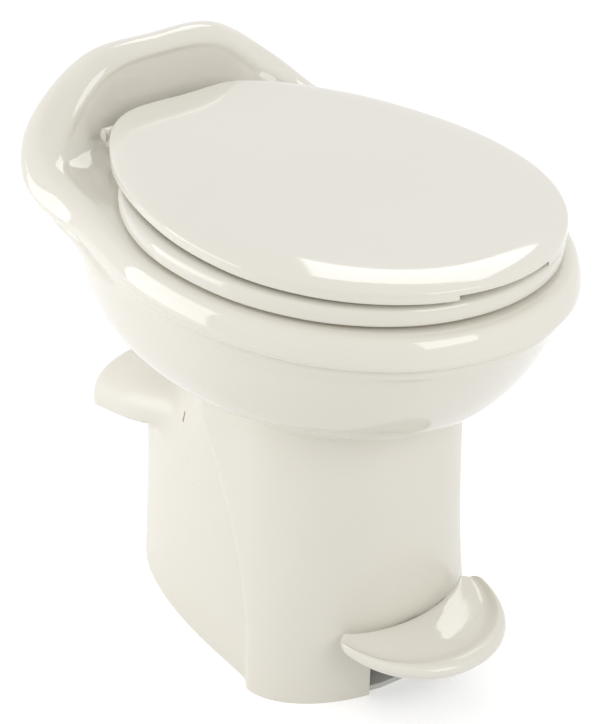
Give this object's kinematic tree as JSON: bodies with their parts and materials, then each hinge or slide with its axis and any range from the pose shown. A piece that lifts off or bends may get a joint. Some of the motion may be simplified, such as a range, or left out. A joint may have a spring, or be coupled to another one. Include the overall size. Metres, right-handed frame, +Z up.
{
  "type": "recreational vehicle toilet",
  "caption": "Gravity-flush caravan toilet: glazed bowl with raised back, moulded pedestal, foot pedal gearing a flush blade, water valve, hinged seat and lid.",
  "frame": {"origin": "on the floor, under the middle of the overall width and depth", "axes": "+Z up, -Y towards the front of the toilet where the user faces out and the pedal is, +X towards the side on a seated user's left hand"},
  "size_m": [0.386, 0.531, 0.5307],
  "materials": {
    "glazed_bowl": "glossy bone-white vitreous glaze",
    "moulded_shell": "satin moulded plastic, bone white",
    "seat_plastic": "polished moulded plastic, bone white",
    "white_plastic": "plain injection-moulded white plastic",
    "grey_plastic": "plain injection-moulded grey plastic",
    "dark_plastic": "glass-filled dark grey plastic",
    "black_rubber": "matt moulded rubber",
    "hose_plastic": "milky flexible hose",
    "steel": "plated steel",
    "brass": "machined brass"
  },
  "bodies": {
    "base": {"base_plate": "dark_plastic", "blade_seal": "black_rubber", "bowl": "glazed_bowl", "bowl_bolt_1": "steel", "bowl_bolt_2": "steel", "bowl_bolt_3": "steel", "bowl_bolt_4": "steel", "bowl_hose": "hose_plastic", "bowl_seal": "black_rubber", "breaker_body": "white_plastic", "breaker_cap": "dark_plastic", "closet_bolt_left": "steel", "closet_bolt_right": "steel", "closet_nut_left": "steel", "closet_nut_right": "steel", "drain_horn": "grey_plastic", "floor_seal": "black_rubber", "hinge_nut_left": "steel", "hinge_nut_right": "steel", "hinge_pin_left": "steel", "hinge_pin_right": "steel", "hinge_post_left": "white_plastic", "hinge_post_right": "white_plastic", "housing_bolt_1": "steel", "housing_bolt_2": "steel", "housing_bolt_3": "steel", "housing_bolt_4": "steel", "inlet_tail": "brass", "pedestal": "moulded_shell", "return_spring": "steel", "rim_spud": "white_plastic", "rod_guide": "white_plastic", "shaft_bush_left": "white_plastic", "shaft_bush_right": "white_plastic", "spud_nut": "dark_plastic", "valve_hose": "hose_plastic", "valve_lower_housing": "grey_plastic", "valve_upper_housing": "grey_plastic", "water_valve_body": "white_plastic"},
    "pedal": {"pedal": "seat_plastic", "pedal_lever": "white_plastic", "pedal_screw_1": "steel", "pedal_screw_2": "steel", "pedal_shaft": "steel", "shaft_clip": "steel"},
    "blade": {"flush_blade": "white_plastic"},
    "valve_rod": {"valve_pull_rod": "steel", "valve_stem": "brass"},
    "seat": {"seat": "seat_plastic", "seat_bumper_1": "black_rubber", "seat_bumper_2": "black_rubber", "seat_bumper_3": "black_rubber", "seat_bumper_4": "black_rubber"},
    "lid": {"lid": "seat_plastic", "lid_bumper_1": "black_rubber", "lid_bumper_2": "black_rubber"},
    "float": {"breaker_float": "black_rubber"},
    "inlet_nut": {"inlet_nut": "dark_plastic"}
  },
  "joints": [
    {"name": "pedal_hinge", "type": "hinge", "parent": "base", "child": "pedal", "pos_m": [0, -0.06, 0.034], "axis": [1, 0, 0], "range_deg": [0, 18.6], "stiffness_Nm_per_rad": 8, "springref_deg": -8.59, "deforming": ["return_spring"]},
    {"name": "blade_slide", "type": "slide", "parent": "base", "child": "blade", "axis": [0, -1, 0], "range_m": [0, 0.0571]},
    {"name": "rod_slide", "type": "slide", "parent": "base", "child": "valve_rod", "axis": [0, -1, 0], "range_m": [0, 0.0118]},
    {"name": "seat_hinge", "type": "hinge", "parent": "base", "child": "seat", "pos_m": [0, 0.199, 0.466], "axis": [1, 0, 0], "range_deg": [-95, 0]},
    {"name": "lid_hinge", "type": "hinge", "parent": "seat", "child": "lid", "pos_m": [0, 0.199, 0.466], "axis": [-1, 0, 0], "range_deg": [0, 95]},
    {"name": "float_slide", "type": "slide", "parent": "base", "child": "float", "axis": [0, 0, 1], "range_m": [0, 0.004]},
    {"name": "inlet_nut_swivel", "type": "hinge", "parent": "base", "child": "inlet_nut", "pos_m": [-0.046, 0.184, 0.07], "axis": [0, 1, 0], "continuous": true}
  ],
  "couplings": [
    {"joint": "blade_slide", "follows": "pedal_hinge", "m_per_rad": 0.1755},
    {"joint": "rod_slide", "follows": "pedal_hinge", "m_per_rad": 0.036}
  ]
}
